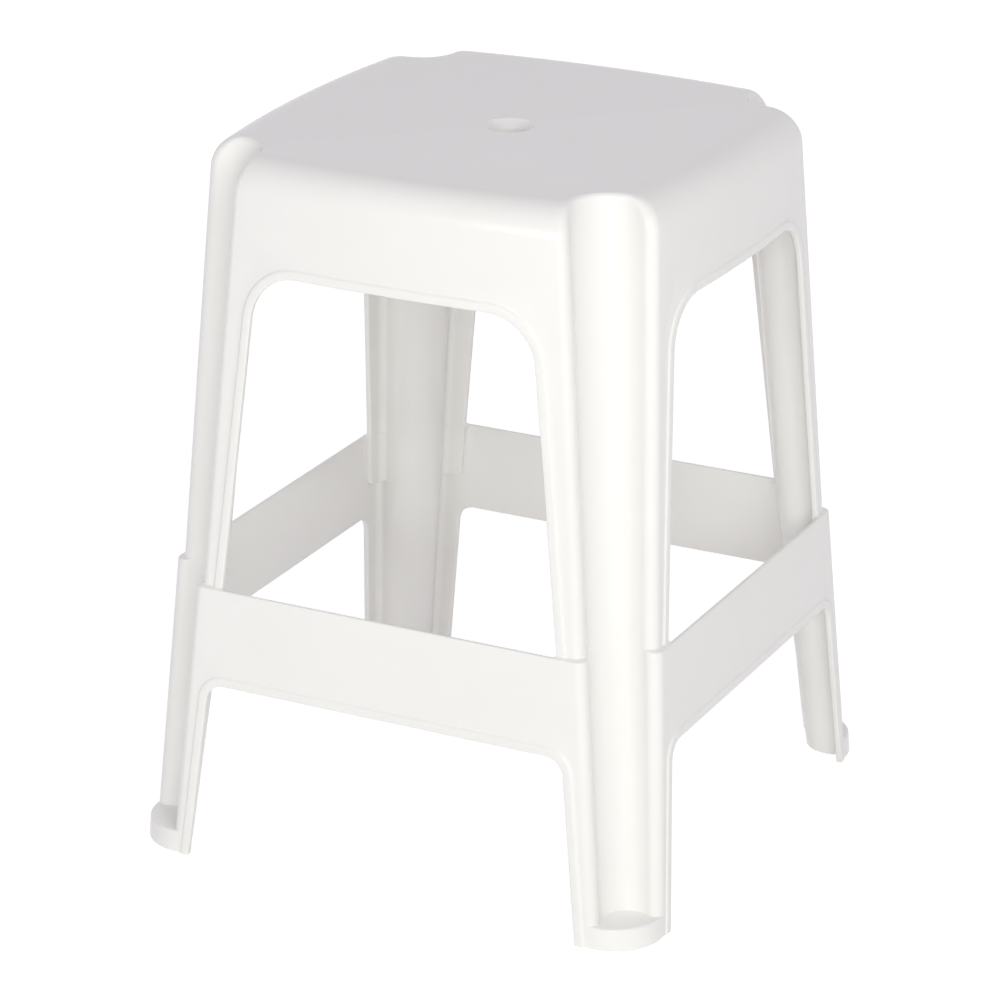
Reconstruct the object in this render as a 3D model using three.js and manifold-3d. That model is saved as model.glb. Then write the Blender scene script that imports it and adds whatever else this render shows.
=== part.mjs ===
// A one-piece moulded stacking stool, in millimetres, with +Z up and the floor at z = 0.
// The moulding is divided at its own members, with a hairline between neighbours.
// A section through the legs is a square whose four corners are hollowed by a round flute,
// and a rounded rib joins each flute to the flat sides.
import * as THREE from 'three';
import { mergeVertices } from 'three/addons/utils/BufferGeometryUtils.js';
import Module from 'manifold-3d';

const wasm = await Module();
wasm.setup();

// Overall sizes: widths are measured from one flat side to the opposite one.
const stoolHeight = 450;
const baseWidth = 355;
const shelfWidth = 332.8; // the wider lower shell, where it ends in a step
const seatWidth = 296.6;
const wall = 2.5;
const hairline = 0.3;
const overrun = 20; // how far a cutting solid runs past what it cuts

// Heights of the members, and the step at the top of the rails.
const railBottom = 117.3;
const railTop = 179.2;
const apronHeight = 42.5;
const seatPanelHeight = 24;
const stepWidth = 3.4; // how far the lower shell stands out from the upper one
const stepRise = 0.6; // the step slopes by this much, so that rain runs off it

// Where the seat panel meets the legs and the apron, and the apron's lower edge.
const seatSeam = stoolHeight - seatPanelHeight;
const apronBottom = seatSeam - apronHeight;

// Legs: the width of one face of a leg, from the corner where the flat sides would meet.
const footLegWidth = 43;
const kneeLegWidth = 48.9; // at the rail's lower edge
const shoulderLegWidth = 49; // just above the step
const hipLegWidth = 60.3; // at the apron's lower edge

// Flutes: how far the middle of their round and the bottom of the hollow lie from that same corner.
const footFlute = 15.1;
const railFlute = 21.6;
const seatFlute = 20.3;
const footGroove = 26.5;
const railGroove = 34.4;
const seatGroove = 37;
const ribRadius = 6;

// Openings: their upper corners, and the raised lip that goes round them.
const kneeRadius = 12;
const hipRadius = 32;
const lipWidth = 6.5;
const lipRise = 1.1; // how far it stands proud at the edge
const jointInset = 5; // a rail or an apron ends this far inside the rounded corners

// Seat panel.
const edgeRadius = 20;
const fluteRim = 3; // rounding where a flute breaks out through the seat's top
const sideBow = 7; // how far a side of the seat bulges in its middle
const seatLand = 8; // flat border inside the rolled edge
const dishDepth = 3;
const holeRadius = 10;
const holeRimRadius = 15.5;
const holeRimDrop = 2.5;

// Under the seat.
const collarWall = 2.5;
const collarHeight = 10;
const seatRibHeight = 12;
const seatRibThickness = 2;

// Feet: a flat ledge closes each flute, behind a bulged nose.
const ledgeHeight = 14;
const noseInset = 9.5; // the nose's tip, from the corner where the flat sides would meet

// The upper shell's legs run on behind the rails and end in rounded tongues.
const tongueEnd = 141;
const tongueRadius = 4;
const tongueBite = 1; // depth in the lower shell's wall where the tongue takes hold

// Facets.
const archCells = 3; // from a corner of an opening's arch to each end of the arch
const ribCells = 4;
const fluteCells = 4; // from a rib to the middle of the flute
const sideCells = 6;
const spanCells = 4;
const ringCells = 24;
const rollShares = [0, 1 / 3, 2 / 3, 5 / 6, 1];

const between = (from, to, share) => from + (to - from) * share;

// The two shells of the moulding, as functions of the height.
const lower = {
  half: (z) => between(baseWidth, shelfWidth, z / railTop) / 2,
  flute: (z) => between(footFlute, railFlute, z / railTop),
  groove: (z) => between(footGroove, railGroove, z / railTop),
  legWidth: (z) => between(footLegWidth, kneeLegWidth, z / railBottom),
  bow: () => 0,
};
const upperShare = (z) => (z - railTop) / (stoolHeight - railTop);
const upper = {
  half: (z) => between(shelfWidth / 2 - stepWidth, seatWidth / 2, upperShare(z)),
  flute: (z) => between(railFlute - stepWidth, seatFlute, upperShare(z)),
  groove: (z) => between(railGroove - stepWidth, seatGroove, upperShare(z)),
  legWidth: (z) => between(shoulderLegWidth, hipLegWidth, (z - railTop) / (apronBottom - railTop)),
  bow: (z) => sideBow * Math.max(0, upperShare(z)),
};
const edgeOf = (shell, z) => shell.half(z) - shell.legWidth(z);

// The section at a height, seen from the corner where the flat sides would meet: x is the inset
// from one's own side and y the inset from the next side. The flute is a round about its middle,
// and the rib is a round that touches both the flute and the bowed side.
function sectionAt(shell, z, inset = 0, flare = 0) {
  const centre = shell.flute(z) - inset;
  const radius = Math.SQRT2 * (shell.groove(z) - shell.flute(z)) + flare;
  const half = shell.half(z) - inset;
  const start = centre + radius;
  const lean = Math.atan(2 * shell.bow(z) / (half - start));
  const inward = new THREE.Vector2(Math.cos(lean), Math.sin(lean));
  const along = new THREE.Vector2(-Math.sin(lean), Math.cos(lean));
  const flute = new THREE.Vector2(centre, centre);
  const rib = new THREE.Vector2(0, start).addScaledVector(inward, ribRadius);
  const fromFlute = rib.clone().sub(flute);
  const reach = fromFlute.dot(along);
  rib.addScaledVector(along, Math.sqrt(reach ** 2 - fromFlute.lengthSq() + (radius + ribRadius) ** 2) - reach);
  return { half, lean, inward, flute, radius, rib };
}

// Places on a section, each at a depth below the outer skin, as insets.
function touchPoint(section, depth) {
  return section.rib.clone().addScaledVector(section.inward, depth - ribRadius);
}

function sidePoint(section, fromMiddle, depth) {
  const touch = touchPoint(section, depth);
  const reach = section.half - touch.y;
  const rise = Math.tan(section.lean) * reach / 2;
  return new THREE.Vector2(touch.x - rise * (1 - (fromMiddle / reach) ** 2), section.half - fromMiddle);
}

function ribPoint(section, share, depth) {
  const toFlute = section.flute.clone().sub(section.rib);
  const angle = between(Math.PI + section.lean, toFlute.angle(), share);
  const spoke = new THREE.Vector2(Math.cos(angle), Math.sin(angle));
  return section.rib.clone().addScaledVector(spoke, ribRadius - depth);
}

function flutePoint(section, share, depth) {
  const toRib = section.rib.clone().sub(section.flute);
  const angle = between(toRib.angle(), Math.PI / 4, share);
  const spoke = new THREE.Vector2(Math.cos(angle), Math.sin(angle));
  return section.flute.clone().addScaledVector(spoke, section.radius + depth);
}

// Insets at the front right corner become a place, on the front side or mirrored to the right one.
const placed = (half, inset, z) => new THREE.Vector3(half - inset.y, inset.x - half, z);
const mirrored = (point) => new THREE.Vector3(-point.y, -point.x, point.z);

function geometryOf(points, triangles) {
  const geometry = new THREE.BufferGeometry();
  geometry.setAttribute('position', new THREE.Float32BufferAttribute(points.flatMap((p) => p.toArray()), 3));
  geometry.setIndex(triangles);
  return geometry;
}

// A walled sheet: a grid of cells, filled or not, with an outer skin, an inner skin and a rim
// along every border.
function sheetGeometry({ columns, rows, filled, place }) {
  const points = [];
  const numbers = new Map();
  const triangles = [];
  const isFilled = (i, j) => i >= 0 && i < columns && j >= 0 && j < rows && filled(i, j);
  const vertex = (i, j, inner) => {
    const key = `${i} ${j} ${inner}`;
    if (!numbers.has(key)) {
      numbers.set(key, points.length);
      points.push(place(i, j, inner));
    }
    return numbers.get(key);
  };
  const quad = (a, b, c, d) => triangles.push(a, b, c, a, c, d);
  for (let j = 0; j < rows; j += 1) {
    for (let i = 0; i < columns; i += 1) {
      if (!isFilled(i, j)) continue;
      const corners = [[i, j], [i + 1, j], [i + 1, j + 1], [i, j + 1]];
      const beyond = [[i, j - 1], [i + 1, j], [i, j + 1], [i - 1, j]];
      const outside = corners.map(([column, row]) => vertex(column, row, false));
      const inside = corners.map(([column, row]) => vertex(column, row, true));
      quad(...outside);
      quad(...inside.toReversed());
      beyond.forEach(([column, row], side) => {
        const next = (side + 1) % corners.length;
        if (!isFilled(column, row)) quad(outside[next], outside[side], inside[side], inside[next]);
      });
    }
  }
  return geometryOf(points, triangles);
}

// The triangles of the skin through rings of as many points each.
function ringTriangles(rings) {
  const count = rings[0].length;
  const triangles = [];
  for (let level = 0; level + 1 < rings.length; level += 1) {
    for (let i = 0; i < count; i += 1) {
      const [a, b] = [level * count + i, level * count + (i + 1) % count];
      triangles.push(a, b, b + count, a, b + count, a + count);
    }
  }
  return triangles;
}

// A solid between outlines of as many points each, from the lowest to the highest.
function loftGeometry(outlines) {
  const count = outlines[0].length;
  const points = outlines.flat();
  const triangles = ringTriangles(outlines);
  const cap = (outline, first, up) => {
    const flat = outline.map((p) => new THREE.Vector2(p.x, p.y));
    THREE.ShapeUtils.triangulateShape(flat, []).forEach(([a, b, c]) => {
      triangles.push(first + a, first + (up ? b : c), first + (up ? c : b));
    });
  };
  cap(outlines[0], 0, false);
  cap(outlines.at(-1), points.length - count, true);
  return geometryOf(points, triangles);
}

// Booleans: a closed geometry becomes a solid, and a solid a geometry again.
function solidOf(geometry) {
  const bare = geometry.clone();
  bare.deleteAttribute('normal');
  bare.deleteAttribute('uv');
  const merged = mergeVertices(bare);
  const vertProperties = new Float32Array(merged.attributes.position.array);
  const triVerts = new Uint32Array(merged.index.array);
  return new wasm.Manifold(new wasm.Mesh({ numProp: 3, vertProperties, triVerts }));
}

function geometryFrom(solid) {
  const mesh = solid.getMesh();
  const geometry = new THREE.BufferGeometry();
  geometry.setAttribute('position', new THREE.BufferAttribute(new Float32Array(mesh.vertProperties), 3));
  geometry.setIndex(new THREE.BufferAttribute(new Uint32Array(mesh.triVerts), 1));
  return geometry;
}

const polypropylene = new THREE.MeshStandardMaterial({ color: 0xecebe7, roughness: 0.28, metalness: 0 });

function addPart(group, name, geometry, quarterTurns = 0) {
  const mesh = new THREE.Mesh(geometry, polypropylene);
  mesh.name = name;
  mesh.rotation.z = quarterTurns * Math.PI / 2;
  group.add(mesh);
}

// The arch at the top of an opening, for one side of the stool: x is the distance from the
// middle of the side and y the height. Loop 0 is the opening's edge, and loop 1 the lip's crease.
function archOf(shell, edgeHeight, radius) {
  const z = edgeHeight - radius;
  const slope = (edgeOf(shell, edgeHeight) - edgeOf(shell, 0)) / edgeHeight;
  const slant = Math.hypot(1, slope);
  const centre = new THREE.Vector2(edgeOf(shell, z) - radius * slant, z);
  const start = Math.atan(-slope);
  return {
    shell,
    edgeHeight,
    centre,
    side: (height, loop) => new THREE.Vector2(edgeOf(shell, height) + loop * lipWidth * slant, height),
    point: (share, loop) => {
      const angle = between(start, Math.PI / 2, share);
      const spoke = new THREE.Vector2(Math.cos(angle), Math.sin(angle));
      return centre.clone().addScaledVector(spoke, radius + loop * lipWidth);
    },
  };
}
const kneeArch = archOf(lower, railBottom, kneeRadius);
const hipArch = archOf(upper, apronBottom, hipRadius);
const railEnd = kneeArch.centre.x - jointInset;
const apronEnd = hipArch.centre.x - jointInset;

// Columns and rows of a leg, from the joint on its front side to the middle of its flute. The
// columns are: joint, start of the arch, the arch, crease, touch, rib and flute.
const edgeColumn = 1 + archCells;
const creaseColumn = edgeColumn + 1;
const touchColumn = creaseColumn + 1;
const fluteColumn = touchColumn + ribCells;
const middleColumn = fluteColumn + fluteCells;
const kneeRow = 1 + archCells;
const stepRow = kneeRow + 2;
const hipRow = stepRow + 1 + kneeRow;
const seamRow = hipRow + 2;

// Heights of the rows round an arch: the bottom, the arch, its edge and its crease.
function archRows(arch, bottom) {
  const heights = [bottom];
  for (let cell = 0; cell < archCells; cell += 1) heights.push(arch.point(cell / archCells / 2, 0).y);
  return [...heights, arch.edgeHeight, arch.edgeHeight + lipWidth];
}
const legRows = [
  ...archRows(kneeArch, 0),
  railTop,
  ...archRows(hipArch, railTop + stepRise),
  seatSeam - hairline / 2,
];

// A place of the leg's grid on the flat side: x from the middle of the side, and the height.
function legSidePlace(column, row) {
  if (row === stepRow) return new THREE.Vector2(stepColumnPlace(column), railTop);
  const isKnee = row < stepRow;
  const arch = isKnee ? kneeArch : hipArch;
  const archRow = isKnee ? kneeRow : hipRow;
  const end = (isKnee ? railEnd : apronEnd) + hairline / 2;
  const height = legRows[row];
  const sideLoop = column - edgeColumn;
  const topLoop = row - archRow;
  if (sideLoop >= 0 && topLoop <= -archCells) return arch.side(height, sideLoop);
  if (topLoop < sideLoop) return arch.point((topLoop + archCells) / (archCells + sideLoop) / 2, sideLoop);
  if (column === 0) return new THREE.Vector2(end, height);
  const loop = Math.min(topLoop, 1);
  const place = arch.point(1 - (column - 1) / (archCells + loop) / 2, loop);
  return new THREE.Vector2(place.x, topLoop > 1 ? height : place.y);
}

// Along the top of the rail, the columns lead to the upper shell's edge and crease.
function stepColumnPlace(column) {
  const loop = column - edgeColumn;
  if (loop >= 0) return hipArch.side(railTop, loop).x;
  return between(railEnd + hairline / 2, edgeOf(upper, railTop), column / edgeColumn);
}

function legPlace(column, row, inner) {
  const shell = row <= stepRow ? lower : upper;
  const isEdge = isOpeningEdge(column, row);
  const depth = (inner ? wall : 0) - (isEdge ? lipRise : 0);
  const isLedge = (row === stepRow || row === stepRow + 1) && column >= edgeColumn;
  const sink = inner && isLedge ? wall : 0;
  if (column < touchColumn) {
    const place = legSidePlace(column, row);
    const section = sectionAt(shell, place.y);
    return placed(section.half, sidePoint(section, place.x, depth), place.y - sink);
  }
  const z = legRows[row];
  const section = sectionAt(shell, z);
  if (column === touchColumn) return placed(section.half, touchPoint(section, depth), z - sink);
  const inset = column <= fluteColumn
    ? ribPoint(section, (column - touchColumn) / ribCells, depth)
    : flutePoint(section, (column - fluteColumn) / fluteCells, depth);
  return placed(section.half, inset, z - sink);
}

// The lip rises along the edge of an opening, but not where the rail's top is free.
function isOpeningEdge(column, row) {
  const onSide = column === edgeColumn && row !== stepRow;
  const besideOpening = row <= kneeRow || (row > stepRow && row <= hipRow);
  const onTop = (row === kneeRow || row === hipRow) && column <= edgeColumn;
  return onTop || (onSide && besideOpening);
}

function legIsFilled(column, row) {
  const fromJoint = Math.min(column, 2 * middleColumn - 1 - column);
  const isJointRow = (row >= kneeRow && row < stepRow) || row >= hipRow;
  return isJointRow || fromJoint >= edgeColumn;
}

function legGeometry() {
  const columns = 2 * middleColumn;
  const place = (column, row, inner) => (column <= middleColumn
    ? legPlace(column, row, inner)
    : mirrored(legPlace(columns - column, row, inner)));
  const shellSolid = solidOf(sheetGeometry({ columns, rows: seamRow, filled: legIsFilled, place }));
  const tongue = tongueGeometry();
  const front = solidOf(tongue);
  const right = solidOf(mirroredGeometry(tongue));
  return geometryFrom(shellSolid.add(front).add(right));
}

// The tongue: rows go up round its end, and columns from its free edge into the flute.
const tongueShares = [0, 1 / 2, 1];
const tongueLipShare = 0.55;
function tongueGeometry() {
  const rows = tongueShares.length;
  const columns = 2 + ribCells + 1;
  const turn = tongueShares.map((share) => share * Math.PI / 2);
  const heights = [...turn.map((angle) => tongueEnd + tongueRadius * (1 - Math.cos(angle))), railTop - wall / 2];
  const insets = [...turn.map((angle) => tongueRadius * (1 - Math.sin(angle))), 0];
  const place = (column, row, inner) => {
    const z = heights[row];
    const section = sectionAt(inner ? upper : lower, z);
    const depth = inner ? wall : tongueBite;
    const touch = section.half - touchPoint(section, depth).y;
    const edge = edgeOf(upper, z) + insets[row];
    const fromMiddle = [edge, between(edge, touch, tongueLipShare), touch][column];
    const rise = inner && column === 0 ? lipRise : 0;
    if (column <= 2) return placed(section.half, sidePoint(section, fromMiddle, depth - rise), z);
    const inset = column <= 2 + ribCells
      ? ribPoint(section, (column - 2) / ribCells, depth)
      : flutePoint(section, 1 / fluteCells, depth);
    return placed(section.half, inset, z);
  };
  return sheetGeometry({ columns, rows, filled: () => true, place });
}

// A mirrored copy for the other side of the corner, with its triangles turned to face out again.
function mirroredGeometry(geometry) {
  const position = geometry.attributes.position;
  const points = [];
  for (let i = 0; i < position.count; i += 1) {
    points.push(mirrored(new THREE.Vector3().fromBufferAttribute(position, i)));
  }
  return geometryOf(points, [...geometry.index.array].reverse());
}

// A rail or an apron: a flat or bowed strip whose lower edge has the raised lip.
function stripGeometry(shell, bottom, top, end) {
  const heights = [bottom, bottom + lipWidth, top];
  const place = (column, row, inner) => {
    const z = heights[row];
    const section = sectionAt(shell, z);
    const depth = (inner ? wall : 0) - (row === 0 ? lipRise : 0);
    const reach = end - hairline / 2;
    return placed(section.half, sidePoint(section, between(-reach, reach, column / spanCells), depth), z);
  };
  return sheetGeometry({ columns: spanCells, rows: heights.length - 1, filled: () => true, place });
}

// One ring of the seat panel, all the way round, starting on the front side.
function seatRing(z, inset, flare, depth) {
  const section = sectionAt(upper, z, inset, flare);
  const corner = [];
  for (let i = 0; i < sideCells; i += 1) {
    const reach = section.half - touchPoint(section, depth).y;
    corner.push(sidePoint(section, between(-reach, reach, i / sideCells), depth));
  }
  for (let i = 0; i < ribCells; i += 1) corner.push(ribPoint(section, i / ribCells, depth));
  const bend = [];
  for (let i = 0; i <= fluteCells; i += 1) bend.push(flutePoint(section, i / fluteCells, depth));
  const half = corner.concat(bend).map((inset2) => placed(section.half, inset2, z));
  const back = half.slice(sideCells, -1).reverse().map(mirrored);
  const quarter = half.concat(back.slice(0, -1));
  const axis = new THREE.Vector3(0, 0, 1);
  return [0, 1, 2, 3].flatMap((turn) => quarter.map((p) => p.clone().applyAxisAngle(axis, turn * Math.PI / 2)));
}

// Outer and inner rings of the seat panel, from its seam over the rolled edge to the flat land.
function seatRings() {
  const rollCentre = stoolHeight - edgeRadius;
  const outer = [seatRing(seatSeam + hairline / 2, 0, 0, 0)];
  const inner = [seatRing(seatSeam + hairline / 2, 0, 0, wall)];
  rollShares.forEach((share) => {
    const angle = share * Math.PI / 2;
    const below = edgeRadius * (1 - Math.sin(angle));
    const flare = below < fluteRim ? fluteRim - Math.sqrt(fluteRim ** 2 - (fluteRim - below) ** 2) : 0;
    const innerRadius = edgeRadius - wall;
    const innerInset = innerRadius * (1 - Math.cos(angle));
    outer.push(seatRing(stoolHeight - below, edgeRadius * (1 - Math.cos(angle)), flare, 0));
    inner.push(seatRing(rollCentre + innerRadius * Math.sin(angle), innerInset, flare, wall));
  });
  const landInset = edgeRadius + seatLand;
  outer.push(seatRing(stoolHeight, landInset, fluteRim, 0));
  inner.push(seatRing(stoolHeight - wall, landInset - wall, fluteRim, wall));
  return { outer, inner };
}

// A turned solid, from the radius and the height of each point of its profile.
function turnedGeometry(profile) {
  const points = profile.map(([radius, z]) => new THREE.Vector2(radius, z));
  return new THREE.LatheGeometry(points, ringCells).rotateX(Math.PI / 2);
}

const dishTop = stoolHeight - dishDepth;
const bossBottom = dishTop - wall - holeRimDrop;
const collarTop = bossBottom - hairline;
const collarOuter = holeRadius + collarWall;

// The seat panel: the skin, with a boss under its middle that gives the hole's rim a full wall.
function seatPanelGeometry() {
  const { outer, inner } = seatRings();
  const rings = [...inner.toReversed(), ...outer];
  const points = rings.flat();
  const triangles = ringTriangles(rings);
  const top = points.push(new THREE.Vector3(0, 0, dishTop)) - 1;
  const under = points.push(new THREE.Vector3(0, 0, dishTop - wall)) - 1;
  const count = outer[0].length;
  const lastRing = (rings.length - 1) * count;
  for (let i = 0; i < count; i += 1) {
    const next = (i + 1) % count;
    triangles.push(lastRing + i, lastRing + next, top);
    triangles.push(next, i, under);
  }
  const dome = solidOf(geometryOf(points, triangles));
  const bossOuter = holeRimRadius + wall;
  const bossTop = dishTop - wall / 2;
  const boss = solidOf(turnedGeometry([[0, bossBottom], [bossOuter, bossBottom], [bossOuter, bossTop], [0, bossTop]]));
  const funnel = solidOf(turnedGeometry([
    [0, bossBottom - overrun],
    [holeRadius, bossBottom - overrun],
    [holeRadius, dishTop - holeRimDrop],
    [holeRimRadius, dishTop],
    [holeRimRadius, dishTop + overrun],
    [0, dishTop + overrun],
  ]));
  return geometryFrom(dome.add(boss).subtract(funnel));
}

function collarGeometry() {
  const bottom = collarTop - collarHeight;
  const profile = [[holeRadius, bottom], [collarOuter, bottom], [collarOuter, collarTop], [holeRadius, collarTop]];
  return turnedGeometry([...profile, profile[0]]);
}

// A diagonal rib: its top follows the dished underside, clears the boss and stops at the flute.
function seatRibGeometry() {
  const section = sectionAt(upper, stoolHeight, 0, fluteRim);
  const fluteBottom = flutePoint(section, 1, wall);
  const end = Math.SQRT2 * (section.half - fluteBottom.x) - hairline;
  const under = stoolHeight - dishDepth - wall - hairline;
  const rise = (radius) => under + dishDepth * radius / (end + hairline);
  const bottom = under - seatRibHeight;
  const bossClear = holeRimRadius + wall + hairline;
  const shape = new THREE.Shape([
    new THREE.Vector2(collarOuter + hairline, bottom),
    new THREE.Vector2(end, bottom),
    new THREE.Vector2(end, rise(end) - hairline),
    new THREE.Vector2(bossClear, rise(bossClear) - hairline),
    new THREE.Vector2(bossClear, collarTop),
    new THREE.Vector2(collarOuter + hairline, collarTop),
  ]);
  const plate = new THREE.ExtrudeGeometry(shape, { depth: seatRibThickness, bevelEnabled: false });
  plate.translate(0, 0, -seatRibThickness / 2);
  return plate.rotateX(Math.PI / 2).rotateZ(-Math.PI / 4);
}

// The foot's outline at a height: the nose's arc, then back along the ribs and the flute, a
// hairline clear of them. The nose is a round that touches both flat sides of the leg, and it
// comes out from behind the ribs.
function noseArc(section, thickness, cells) {
  const radius = noseInset / (1 - Math.SQRT1_2);
  const middle = new THREE.Vector2(radius, radius);
  const toRib = section.rib.clone().sub(middle);
  const clear = ribRadius + hairline;
  const turn = Math.acos((radius ** 2 + toRib.lengthSq() - clear ** 2) / (2 * radius * toRib.length()));
  const start = toRib.angle() + turn;
  const end = 2 * Math.PI + Math.PI / 2 - start;
  const arc = [];
  for (let i = 0; i <= cells; i += 1) {
    const angle = between(start, end, i / cells);
    const spoke = new THREE.Vector2(Math.cos(angle), Math.sin(angle));
    arc.push(middle.clone().addScaledVector(spoke, radius - thickness));
  }
  return arc;
}

function footOutline(z) {
  const section = sectionAt(lower, z);
  const nose = noseArc(section, 0, 2 * fluteCells);
  const toNose = nose[0].clone().sub(section.rib).angle();
  const toFlute = section.flute.clone().sub(section.rib).angle();
  const ribBack = [];
  for (let i = 1; i <= ribCells; i += 1) {
    const angle = between(toNose, toFlute, i / ribCells);
    const spoke = new THREE.Vector2(Math.cos(angle), Math.sin(angle));
    ribBack.push(section.rib.clone().addScaledVector(spoke, ribRadius + hairline));
  }
  const flute = [];
  for (let i = 1; i <= fluteCells; i += 1) flute.push(flutePoint(section, i / fluteCells, -hairline));
  const firstHalf = ribBack.concat(flute);
  const swapped = firstHalf.map((p) => new THREE.Vector2(p.y, p.x));
  const outline = nose.concat(swapped, firstHalf.slice(0, -1).reverse());
  return outline.map((inset) => placed(section.half, inset, z));
}

function footHollow(z) {
  const section = sectionAt(lower, z);
  const arc = noseArc(section, wall, 2 * fluteCells);
  const far = section.flute.x + section.radius;
  const outline = [...arc, new THREE.Vector2(far, far)];
  return outline.map((inset) => placed(section.half, inset, z));
}

function footGeometry() {
  const block = solidOf(loftGeometry([footOutline(0), footOutline(ledgeHeight)]));
  const hollow = solidOf(loftGeometry([footHollow(-overrun), footHollow(ledgeHeight - wall)]));
  return geometryFrom(block.subtract(hollow));
}

// The whole stool. A quarter turn takes a part from one corner or side to the next.
const stool = new THREE.Group();
const corners = ['front_right', 'back_right', 'back_left', 'front_left'];
const sides = ['front', 'right', 'back', 'left'];

addPart(stool, 'seat_panel', seatPanelGeometry());
addPart(stool, 'seat_hole_collar', collarGeometry());
corners.forEach((corner, turns) => {
  addPart(stool, `seat_rib_${corner}`, seatRibGeometry(), turns);
  addPart(stool, `leg_${corner}`, legGeometry(), turns);
  addPart(stool, `foot_${corner}`, footGeometry(), turns);
});
sides.forEach((side, turns) => {
  addPart(stool, `apron_${side}`, stripGeometry(upper, apronBottom, seatSeam - hairline / 2, apronEnd), turns);
  addPart(stool, `rail_${side}`, stripGeometry(lower, railBottom, railTop, railEnd), turns);
});

export default stool;
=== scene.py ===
# A one-piece moulded stacking stool, glossy white, in the frame of its CAD model.
# The moulding is one seamless skin. Its feet, tongues and under-seat ribs are let into it.
import math
from functools import lru_cache
from types import SimpleNamespace

import bpy
from mathutils import Matrix, Vector


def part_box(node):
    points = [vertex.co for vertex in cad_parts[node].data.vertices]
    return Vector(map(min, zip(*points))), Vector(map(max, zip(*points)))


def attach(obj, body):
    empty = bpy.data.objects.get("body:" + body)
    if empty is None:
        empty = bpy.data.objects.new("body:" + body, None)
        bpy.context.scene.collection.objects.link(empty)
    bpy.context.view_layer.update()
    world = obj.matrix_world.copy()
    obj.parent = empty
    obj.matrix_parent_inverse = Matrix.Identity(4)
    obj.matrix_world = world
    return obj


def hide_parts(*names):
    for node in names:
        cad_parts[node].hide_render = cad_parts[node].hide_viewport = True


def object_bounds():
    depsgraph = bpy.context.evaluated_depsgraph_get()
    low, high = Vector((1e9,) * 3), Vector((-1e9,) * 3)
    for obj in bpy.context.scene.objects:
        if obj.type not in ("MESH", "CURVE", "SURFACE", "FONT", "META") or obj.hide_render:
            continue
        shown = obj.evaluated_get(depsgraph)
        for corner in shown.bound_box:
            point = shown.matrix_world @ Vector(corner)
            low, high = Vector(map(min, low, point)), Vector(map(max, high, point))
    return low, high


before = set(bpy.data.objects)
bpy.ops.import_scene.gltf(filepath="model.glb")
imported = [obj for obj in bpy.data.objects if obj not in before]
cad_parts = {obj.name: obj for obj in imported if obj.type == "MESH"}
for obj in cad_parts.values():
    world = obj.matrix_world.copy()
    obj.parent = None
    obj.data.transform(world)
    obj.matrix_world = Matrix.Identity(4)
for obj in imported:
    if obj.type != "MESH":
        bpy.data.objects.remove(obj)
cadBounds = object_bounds()
millimetre = 0.001
print("frame loaded")


def heightOf(node, corner):
    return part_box(node)[corner].z / millimetre


def between(low, high, share):
    return low + (high - low) * share


def heightsBetween(low, high, count):
    return [between(low, high, i / count) for i in range(1, count + 1)]


def turnsTo(end, steps):
    return [end * (i / steps) for i in range(steps + 1)]


def spoke(angle):
    return Vector((math.cos(angle), math.sin(angle)))


def smooth(share):
    share = min(max(share, 0), 1)
    return share * share * (3 - 2 * share)


# A quarter round stands back by its radius where it starts, and by nothing a radius further on.
def roundedOff(radius, height):
    height = min(max(height, 0), radius)
    return radius - math.sqrt(radius ** 2 - (radius - height) ** 2)


# Sizes of the moulding in millimetres. The heights and the overall width come from the CAD frame.
# Halves are from the stool's middle to a side, without the lips. A flute's value is how far its
# centre lies from both sides of its corner, and a groove's value is the same for its bottom.
stool = {
    "height": cadBounds[1].z / millimetre,
    "overallHalf": cadBounds[1].x / millimetre,  # at the floor, over the lips
    "shelfHalf": 166.4,  # the lower shell at its top
    "seatHalf": 148.3,
    "railBottom": heightOf("rail_front", 0),
    "railTop": heightOf("rail_front", 1),
    "apronBottom": heightOf("apron_front", 0),
    "wall": 2.5,
    "stepWidth": 3.4,  # how much further in the upper shell starts
    "stepRise": 0.6,
    "stepRound": 1.0,  # the step's outer edge
    "stepFillet": 0.8,  # the inner corner behind it
    "footLegWidth": 43,  # from a leg's corner to the opening, at four heights going up
    "kneeLegWidth": 48.9,
    "shoulderLegWidth": 49,
    "hipLegWidth": 60.3,
    "footFlute": 15.1,
    "railFlute": 21.6,
    "seatFlute": 20.3,
    "footGroove": 26.5,
    "railGroove": 34.4,
    "seatGroove": 37,
    "ribRadius": 6,  # the round ridge between a flute and a flat side
    "sideBow": 7,  # how far the seat's sides bow out
    "kneeRadius": 12,  # the top corners of the openings under the rails
    "hipRadius": 32,  # those of the openings above the rails
    "sillRadius": 1.2,  # where the rail's top meets the leg
    "toeRadius": 1.6,  # the bottom corner of a leg's edge
    "rimRound": 0.8,  # the edges of the openings, the feet and the collar
    "lipWidth": 6.5,  # the raised border along the openings
    "lipRise": 1.1,  # how far the lip stands proud
    "lipStep": 1.5,  # the width of the soft step up to it
    "edgeRadius": 20,  # the seat's rolled edge
    "fluteRim": 3,  # the flute's edge where it runs out through the seat
    "landHalf": 127.3,  # the flat border's inner edge
    "landRound": 5,  # how softly the dish starts there
    "dishDepth": 3,
    "creasePower": 70,  # how sharp the dish's diagonal creases are
    "cornerPower": 7,  # and how soft they end at the flutes
    "softReach": (88, 108),  # where they start and stop getting softer
    "grooveDepth": 0.12,  # the fine line along each crease
    "grooveHalf": 1.8,
    "holeRadius": 10,
    "holeRimRadius": 15.5,
    "holeRimDrop": 3.8,
    "holeRound": 1.2,  # where the dished rim meets the bore
    "holeRimRound": 1.2,  # where it meets the seat
    "collarBottom": heightOf("seat_hole_collar", 0),
}

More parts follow.
